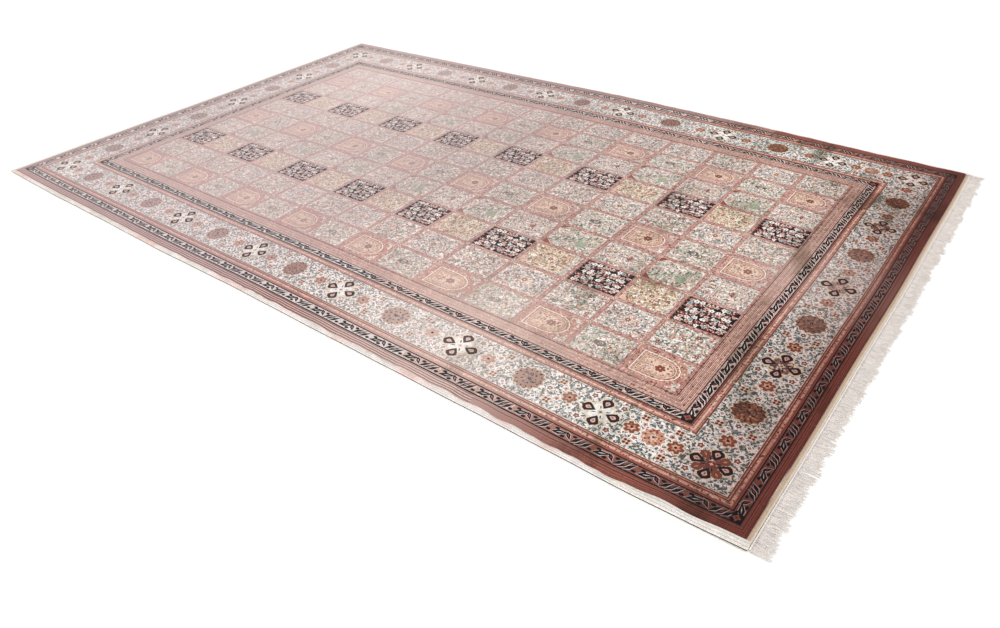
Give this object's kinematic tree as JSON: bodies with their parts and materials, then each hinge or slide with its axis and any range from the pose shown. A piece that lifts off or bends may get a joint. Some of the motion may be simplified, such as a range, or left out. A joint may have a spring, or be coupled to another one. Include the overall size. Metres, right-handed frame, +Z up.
{
  "type": "kashmir rug",
  "caption": "Rectangular hand-knotted pile rug lying flat, with overcast side edges, a woven band and a warp fringe at each end.",
  "frame": {"origin": "middle of the whole rug's box, on the floor under it", "axes": "+X along the length towards the long fringe, +Y across the rug, +Z up out of the pile"},
  "size_m": [3.0424, 1.8828, 0.006],
  "materials": {
    "pile": "clipped silk pile with a soft sheen, knotted in a compartment design",
    "selvedge": "overcast cream yarn with faint pastel shifts",
    "end_band": "flat woven tan and rose yarn",
    "fringe": "off-white spun warp ends"
  },
  "bodies": {
    "root": {"pile_carpet": "pile", "selvedge_near": "selvedge", "selvedge_far": "selvedge", "end_band_left": "end_band", "end_band_right": "end_band", "fringe_left": "fringe", "fringe_right": "fringe"}
  },
  "joints": []
}
